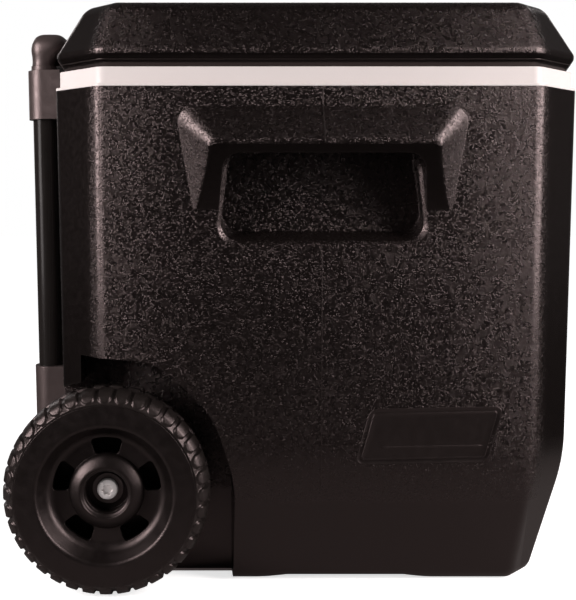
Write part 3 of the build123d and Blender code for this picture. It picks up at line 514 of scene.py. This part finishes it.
def axle_bolt(side):
    """Axle bolt: a profile turned about the axle, from the recess floor over the head to the shank's tip.

    Inside the head the radius swells and shrinks six times a turn, which makes the star-shaped recess.
    """
    bolt = "axle_bolt_" + side
    face = inset(bolt, side)
    tip = face + size(bolt, 1)
    floor, back = face + BOLT_RECESS, face + BOLT_HEAD_DEPTH
    head = size(bolt, 2) / 2
    star = STAR_SHARE * head
    recess = [(0.0, floor), (0.55 * star, floor), (0.97 * star, floor - 0.2 * MM),
              (star, face + 0.35 * MM), (1.12 * star, face)]
    crown = [(0.72 * head, face + 0.25 * MM), (0.93 * head, face + 1.1 * MM), (head, face + 2.3 * MM),
             (head, back - 0.4 * MM), (0.97 * head, back)]
    shank = [(BOLT_SHANK, back), (BOLT_SHANK, tip - 1.2 * MM), (BOLT_SHANK - 1.0 * MM, tip), (0.0, tip)]
    profile = np.array(recess + crown + shank)
    lobes = np.zeros(len(profile))
    lobes[:len(recess)] = STAR_FADE
    points = turned(side, profile, count=72, swell=STAR_SWELL * lobes[:, None])
    piece("axle_bolt_star_" + side, [(points, quads(*points.shape[:2], wrap_columns=True))], "cooler",
          "bright_steel", [bolt], sharp=35.0)


def hub_dome(side):
    """Rounded ring over the wheel's hub: an arch between two radii, closed below, turned about the axle."""
    points = turned(side, np.array(HUB_ARCH) * MM, count=96)
    faces = quads(*points.shape[:2], wrap_rows=True, wrap_columns=True)
    piece("hub_dome_" + side, [(points, faces)], "wheel_" + side, "wheel_plastic")


for side in OUTWARD:
    tread(side)
    axle_bolt(side)
    hub_dome(side)


# Body and lid detail

PLATE_X, PLATE_Z = 102.6 * MM, 123.3 * MM
PLATE_HALF_X, PLATE_HALF_Z = 51.5 * MM, 22.0 * MM
PLATE_CORNER, PLATE_LEAST_CORNER = 6.5 * MM, 0.8 * MM
PLATE_SHEAR, PLATE_TILT = 0.27, 0.02
PLATE_BACK, PLATE_CLOSE = -0.8 * MM, (0.94, 0.0)

# Plate's relief in millimetres, (way in from its edge, height over the wall): rim, groove, frame, field
PLATE_RELIEF = [
    (0.0, -0.4), (0.25, 0.35), (0.6, 0.55), (0.9, 0.45), (1.2, 0.10), (3.7, 0.10),
    (3.95, 0.70), (4.3, 1.00), (4.7, 1.00), (5.0, 0.80), (5.5, 0.65), (9.0, 0.65)]
LINE_START, LINE_STOP, LINE_DROP, LINE_BASE = -34.5 * MM, 43.5 * MM, 8.5 * MM, 0.62 * MM

# Low arches, (across, rise): the plate's line in millimetres, the mould line in shares of its own size
LINE_ARCH = [(-0.9, -0.3), (-0.45, 0.40), (0.0, 0.55), (0.45, 0.40), (0.9, -0.3), (0.0, -0.3)]
SEAM_ARCH = [(-1.0, -0.8), (-0.5, 0.75), (0.0, 1.0), (0.5, 0.75), (1.0, -0.8), (0.0, -0.8)]
SEAM_HALF, SEAM_HEIGHT = 0.45 * MM, 0.30 * MM
SEAM_LOW, SEAM_HIGH = 74.0 * MM, 264.0 * MM
SEAM_LIP, SEAM_STOP = 2.0 * MM, 1.0 * MM

BEAD_Z, BEAD_INSET, BEAD_RADIUS = 411.2 * MM, 3.9 * MM, 0.5 * MM
CUT_SHRINK = 0.586


def end_wall(z):
    """Distance of the end wall from the middle at a height: drafted, bent in by an arc, then leaning in."""
    bend = np.clip(BEND_TOP - z, 0.0, BEND_TOP - BEND_LOW)
    lean = SKIRT_LEAN * np.clip(BEND_LOW - z, 0.0, None)
    return WALL_HALF - DRAFT * (WALL_TOP - z) - bend ** 2 / (2 * BEND_RADIUS) - lean


def rounded_ring(half_x, half_y, radius, steps):
    """Closed outline of a rounded rectangle about the origin, the same number of points in each corner."""
    quarter = np.linspace(0.0, math.pi / 2, steps)
    turn = np.concatenate([quarter + k * math.pi / 2 for k in range(4)])
    x = np.repeat([1.0, -1.0, -1.0, 1.0], steps) * (half_x - radius) + radius * np.cos(turn)
    y = np.repeat([1.0, 1.0, -1.0, -1.0], steps) * (half_y - radius) + radius * np.sin(turn)
    return np.stack([x, y], axis=1)


def cut_ring(half_x, half_y, cut, radius, steps):
    """Closed outline of a rectangle with cut corners, each crease an arc of the radius."""
    eighth = math.pi / 4
    crease = radius * math.tan(eighth / 2)
    turn = np.linspace(0.0, eighth, steps)
    centres = ((half_x - radius, half_y - cut - crease), (half_x - cut - crease, half_y - radius))
    arcs = [np.array(centre) + radius * np.stack([np.cos(angle), np.sin(angle)], axis=1)
            for centre, angle in zip(centres, (turn, turn + eighth))]
    quarter = np.concatenate(arcs)
    mirrored = quarter[::-1] * (-1.0, 1.0)
    return np.concatenate([quarter, mirrored, -quarter, -mirrored])


def faded_ends(count):
    """Ones with 0 at both ends, which draw a carried section together to a point."""
    fade = np.ones(count)
    fade[[0, -1]] = 0.0
    return fade


def plate_line(x, z):
    """A thin raised line through points on the plate: a low arch carried along, its ends drawn together."""
    across, rise = np.array(LINE_ARCH).T * MM
    fade = faded_ends(len(x))
    zz = z[None, :] + across[:, None] * fade[None, :]
    yy = -end_wall(zz) - LINE_BASE - rise[:, None] * fade[None, :]
    return np.stack([np.broadcast_to(x, zz.shape), yy, zz], axis=-1), quads(*zz.shape, wrap_rows=True)


def plate():
    """Bare slanted plate low on the near end: rings inward from its rounded edge, each at its own height.

    The rings start behind the plate and end at its middle, each time on a line that closes them. The heights
    are over the end wall, and the outline is sheared and tilted in the wall's plane.
    """
    relief = np.array(PLATE_RELIEF) * MM
    rings = [rounded_ring(PLATE_HALF_X - inward, PLATE_HALF_Z - inward,
                          max(PLATE_CORNER - inward, PLATE_LEAST_CORNER), steps=9)
             for inward in relief[:, 0]]
    rings = np.stack([rings[0] * PLATE_CLOSE, rings[0]] + rings + [rings[-1] * PLATE_CLOSE])
    height = np.concatenate([np.full(2, PLATE_BACK), relief[:, 1], relief[-1:, 1]])
    x = PLATE_X + rings[:, :, 0] + PLATE_SHEAR * rings[:, :, 1]
    z = PLATE_Z + rings[:, :, 1] + PLATE_TILT * rings[:, :, 0]
    points = np.stack([x, -end_wall(z) - height[:, None], z], axis=-1)
    along = np.linspace(LINE_START, LINE_STOP, 40)
    line = plate_line(along + PLATE_X - PLATE_SHEAR * LINE_DROP, PLATE_Z - LINE_DROP + PLATE_TILT * along)
    patches = [(points, quads(*x.shape, wrap_columns=True)), line]
    piece("bare_plate", patches, "cooler", "smooth_black", sharp=60.0)


def seam(path, outward):
    """A low arch carried along a path of (distance from the middle, height), drawn together at its ends."""
    normal = rightward(np.gradient(path, axis=0))
    across, rise = np.array(SEAM_ARCH).T * [[SEAM_HALF], [SEAM_HEIGHT]]
    fade = faded_ends(len(path))
    lifted = path[None, :, :] + normal[None, :, :] * (rise[:, None] * fade[None, :])[:, :, None]
    x = HOOD_X + across[:, None] * fade[None, :]
    points = np.stack([x, outward * lifted[:, :, 0], lifted[:, :, 1]], axis=-1)
    return points, quads(*x.shape, wrap_rows=True)


def parting_line(side):
    """Mould line up the middle of an end: a low arch carried up the wall, and over the hood's crest."""
    wall_z = np.linspace(SEAM_LOW, SEAM_HIGH, 60)
    lower = np.stack([end_wall(wall_z), wall_z], axis=1)
    hood = [(HOOD_FACE, HOOD_CREST - SEAM_LIP), (HOOD_FACE, HOOD_CREST), (end_wall(HOOD_TOP), HOOD_TOP),
            (end_wall(WALL_TOP), WALL_TOP - SEAM_STOP)]
    upper = resampled(rounded_run(hood, [CREST_ROUND, TOP_ROUND], steps=8), count=48)
    patches = [seam(path, OUTWARD[side]) for path in (lower, upper)]
    piece("parting_line_" + side, patches, "cooler", "smooth_black")


def lid_bead():
    """Seam bead round the lid under its ridge: a round section carried round the cut-corner outline."""
    outline = cut_ring(size("body_shell", 0) / 2 - BEAD_INSET, WALL_HALF - BEAD_INSET,
                       BODY_CUT - CUT_SHRINK * BEAD_INSET, BODY_CREASE, steps=9)
    outward = rightward(np.roll(outline, -1, axis=0) - np.roll(outline, 1, axis=0))
    turn = around(10)
    xy = outline[None, :, :] + outward[None, :, :] * (BEAD_RADIUS * np.cos(turn))[:, None, None]
    z = np.broadcast_to((BEAD_Z + BEAD_RADIUS * np.sin(turn))[:, None], xy.shape[:2])
    points = np.concatenate([xy + (BODY_X, 0.0), z[:, :, None]], axis=2)
    faces = quads(*z.shape, wrap_rows=True, wrap_columns=True)
    piece("lid_bead", [(points, faces)], "lid", "smooth_black")


plate()
for side in OUTWARD:
    parting_line(side)
lid_bead()


# Tow handle

NECK_RADIUS, NECK_HALF = 7.5 * MM, 9.6 * MM
GRIP_SWELL = 0.6 * MM
ELBOW_BEND = 6.0 * MM
BEND_POINTS, STRAIGHT_POINTS, SECTION_POINTS = 14, 6, 40
ROUND_POWER, BOXY_POWER = 2.0, 1.3

# Shares of the elbow's path over which its section swells, squares up and moves from the tube to the grip
SWELL_SPAN, SQUARE_SPAN, SHIFT_SPAN = (0.05, 0.5), (0.1, 0.6), (0.0, 0.6)


def bent_path(side, low_z, middle_z, inner_y):
    """Path of an elbow: up the tube, round a quarter circle, in along the grip; with its outer normals."""
    y = middle("tow_tube_inner_" + side, 1)
    outward = OUTWARD[side]
    turn = np.linspace(0.0, math.pi / 2, BEND_POINTS)
    arc_y = y - outward * ELBOW_BEND * (1.0 - np.cos(turn))
    arc_z = middle_z - ELBOW_BEND + ELBOW_BEND * np.sin(turn)
    up = np.full(STRAIGHT_POINTS, 1.0)
    rise = np.linspace(low_z, middle_z - ELBOW_BEND, STRAIGHT_POINTS)
    inward = np.linspace(arc_y[-1], inner_y, STRAIGHT_POINTS)[1:]
    path_y = np.concatenate([up * y, arc_y[1:], inward])
    path_z = np.concatenate([rise, arc_z[1:], up[1:] * middle_z])
    normal_y = np.concatenate([up * outward, outward * np.cos(turn)[1:], 0 * inward])
    normal_z = np.concatenate([0 * up, np.sin(turn)[1:], up[1:]])
    return path_y, path_z, normal_y, normal_z


def elbow(side):
    """Smooth end of the tow grip: a round neck that swells into the grip's section along a bent path.

    Each section is a superellipse; its half width, half height and power run smoothly along the path.
    """
    node = "tow_elbow_" + side
    middle_z = middle("tow_grip_sleeve", 2)
    low_z, inner_y = reach(node, 2)[0], inner_face(node, side)
    path_y, path_z, normal_y, normal_z = bent_path(side, low_z, middle_z, inner_y)
    t = np.linspace(0.0, 1.0, len(path_y))
    swell = ease(t, *SWELL_SPAN)
    half_x = NECK_HALF + (size(node, 0) / 2 - NECK_HALF) * swell
    half_n = NECK_HALF + (size("tow_grip_sleeve", 2) / 2 + GRIP_SWELL - NECK_HALF) * swell
    power = 2.0 / (ROUND_POWER + BOXY_POWER * ease(t, *SQUARE_SPAN))
    neck_x = reach("tow_tube_inner_" + side, 0)[0] + NECK_RADIUS
    centre_x = neck_x + (middle(node, 0) - neck_x) * ease(t, *SHIFT_SPAN)
    turn = around(SECTION_POINTS)
    cosine, sine = np.cos(turn)[None, :], np.sin(turn)[None, :]
    off_x = half_x[:, None] * np.sign(cosine) * np.abs(cosine) ** power[:, None]
    off_n = half_n[:, None] * np.sign(sine) * np.abs(sine) ** power[:, None]
    points = np.stack([centre_x[:, None] + off_x, path_y[:, None] + normal_y[:, None] * off_n,
                       path_z[:, None] + normal_z[:, None] * off_n], axis=-1)
    first, last = (points[k].mean(axis=0) + 0 * points[k] for k in (0, -1))
    points = np.concatenate([first[None], points, last[None]])
    piece("tow_elbow_smooth_" + side, [(points, quads(*points.shape[:2], wrap_columns=True))], "tow_top",
          "black_plastic", [node], sharp=50.0)


for side in OUTWARD:
    elbow(side)


# Stage, light and camera

FLOOR_HALF, FLOOR_DROP, FLOOR_LIFT = 6.0, 0.5 * MM, 0.68
AMBIENT = 0.4
LAMP_COLOUR = (1.0, 0.93, 0.92)
TENT_RADIUS, TENT_FLOOR = 3.0, 2.0 * MM
TENT_RINGS = (0.15, 0.4, 0.8)
TENT_BLACK, TENT_GREY, TENT_NEAR_GREY = (0.015, 0.014, 0.014), (0.20, 0.19, 0.19), (0.22, 0.20, 0.195)
TENT_BEHIND, TENT_NEAR = (-0.2, 1.6), (0.62, 0.42)

CAMERA_PLACE = (-42.7 * MM, -988.4 * MM, 308.2 * MM)
CAMERA_PITCH = math.radians(2.0)
CAMERA_SHIFT = (0.08, -0.12)
SENSOR_WIDTH, FOCAL_PIXELS, PICTURE_HEIGHT = 36.0, 948.6, 600.0


def seen_rays(tree):
    """1 for what the camera, a mirror or glass sees, 0 for light that falls on the object."""
    path = tree.nodes.new("ShaderNodeLightPath")
    seen = path.outputs["Is Camera Ray"]
    for output in ("Is Glossy Ray", "Is Transmission Ray"):
        joined = tree.nodes.new("ShaderNodeMath")
        joined.operation = "MAXIMUM"
        tree.links.new(seen, joined.inputs[0])
        tree.links.new(path.outputs[output], joined.inputs[1])
        seen = joined.outputs[0]
    return seen


def stage_mesh(name, points, faces, material):
    """An object of the stage from a grid of points."""
    mesh = bpy.data.meshes.new(name)
    mesh.from_pydata(points.reshape(-1, 3).tolist(), [], faces.tolist())
    mesh.materials.append(material)
    made = bpy.data.objects.new(name, mesh)
    bpy.context.collection.objects.link(made)
    return made


def lay_floor():
    """A flat pale floor just below the object, lifted to white where it is seen, which keeps the shadow."""
    f = Finish("floor_paper", (0.92, 0.92, 0.92), 0.9, Specular_IOR_Level=0.0)
    f.paint(f.blend(f.noise(3.0), (0.915, 0.915, 0.915), (0.925, 0.925, 0.925)))
    lift = f.maths("MULTIPLY", seen_rays(f.tree), FLOOR_LIFT)
    f.shader.inputs["Emission Color"].default_value = (1.0, 1.0, 1.0, 1.0)
    f.tree.links.new(lift, f.shader.inputs["Emission Strength"])
    t = np.linspace(-FLOOR_HALF, FLOOR_HALF, 3)
    x, y = np.meshgrid(t, t, indexing="ij")
    points = np.stack([x, y, np.full(x.shape, -FLOOR_DROP)], axis=-1)
    floor = stage_mesh("floor", points, quads(*x.shape)[:, ::-1], f.material)


def light_world():
    """An even world that is white where the camera, a mirror or glass sees it, and dimmer as light."""
    world = bpy.data.worlds.new("studio")
    bpy.context.scene.world = world
    world.use_nodes = True
    tree = world.node_tree
    back = tree.nodes["Background"]
    back.inputs["Color"].default_value = (1.0, 1.0, 1.0, 1.0)
    level = tree.nodes.new("ShaderNodeMapRange")
    level.inputs["To Min"].default_value = AMBIENT
    level.inputs["To Max"].default_value = 1.0
    tree.links.new(seen_rays(tree), level.inputs["Value"])
    tree.links.new(level.outputs[0], back.inputs["Strength"])


def lamp(name, place, aim, width, height, radiance, spread):
    """A soft rectangular lamp turned towards its aim; its grid narrows the beam to a spread in degrees."""
    data = bpy.data.lights.new(name, "AREA")
    data.shape = "RECTANGLE"
    data.size, data.size_y = width, height
    data.energy = math.pi * width * height * radiance
    data.color = LAMP_COLOUR
    data.spread = math.radians(spread)
    made = bpy.data.objects.new(name, data)
    made.visible_camera = False
    made.location = place
    direction = np.array(place) - np.array(aim)
    turn = math.atan2(direction[0], -direction[1])
    tilt = math.acos(direction[2] / np.linalg.norm(direction))
    made.rotation_euler = (tilt, 0.0, turn)
    bpy.context.collection.objects.link(made)


def flag():
    """A dark tent round the object that only reflections see, as black cloth keeps a black object black.

    Its profile runs out along the floor and up a quarter circle, turned about the vertical. The cloth is
    black in front and grey behind, and grey on the floor near the object.
    """
    climb = np.linspace(0.0, math.pi / 2, 13)
    run = [(ring, TENT_FLOOR) for ring in TENT_RINGS]
    rise = np.stack([TENT_RADIUS * np.cos(climb), TENT_FLOOR + TENT_RADIUS * np.sin(climb)], axis=1)
    profile = np.concatenate([run, rise])
    angle = around(32)
    x = profile[:, :1] * np.cos(angle)[None, :]
    y = profile[:, :1] * np.sin(angle)[None, :]
    points = np.stack([x, y, np.broadcast_to(profile[:, 1:], x.shape)], axis=-1)
    f = Finish("flag_cloth", (0.02, 0.02, 0.02), 0.9, Specular_IOR_Level=0.0)
    cloth = f.blend(f.ease(f.part("Y"), *TENT_BEHIND), TENT_BLACK, TENT_GREY)
    away = f.add("ShaderNodeVectorMath", {"operation": "LENGTH"}, n0=f.place).outputs["Value"]
    f.paint(f.blend(f.ease(away, *TENT_NEAR), cloth, TENT_NEAR_GREY))
    card = stage_mesh("flag", points, quads(*x.shape, wrap_columns=True), f.material)
    card.visible_camera = card.visible_diffuse = card.visible_transmission = card.visible_shadow = False


def camera():
    """The camera at the photograph's place: level but for a small pitch, with its picture shifted."""
    data = bpy.data.cameras.new("camera")
    data.sensor_width = SENSOR_WIDTH
    data.lens = SENSOR_WIDTH * FOCAL_PIXELS / PICTURE_HEIGHT
    data.shift_x, data.shift_y = CAMERA_SHIFT
    data.clip_start = 10.0 * MM
    made = bpy.data.objects.new("camera", data)
    made.location = CAMERA_PLACE
    made.rotation_euler = (math.pi / 2 - CAMERA_PITCH, 0.0, 0.0)
    bpy.context.collection.objects.link(made)
    bpy.context.scene.camera = made


lay_floor()
light_world()
lamp("softbox_left", place=(-0.66, -0.54, 0.53), aim=(-0.19, -0.25, 0.36), width=0.28, height=0.75,
     radiance=2.6, spread=74.0)
lamp("softbox_right", place=(0.66, -0.54, 0.50), aim=(0.19, -0.25, 0.26), width=0.28, height=0.75,
     radiance=3.3, spread=80.0)
for hand, sign in (("left", -1.0), ("right", 1.0)):
    lamp("softbox_back_" + hand, place=(sign * 0.72, 0.80, 0.55), aim=(sign * 0.06, 0.33, 0.26), width=0.40,
         height=0.75, radiance=1.1, spread=52.0)
flag()
camera()
bpy.context.scene.view_settings.view_transform = "Standard"
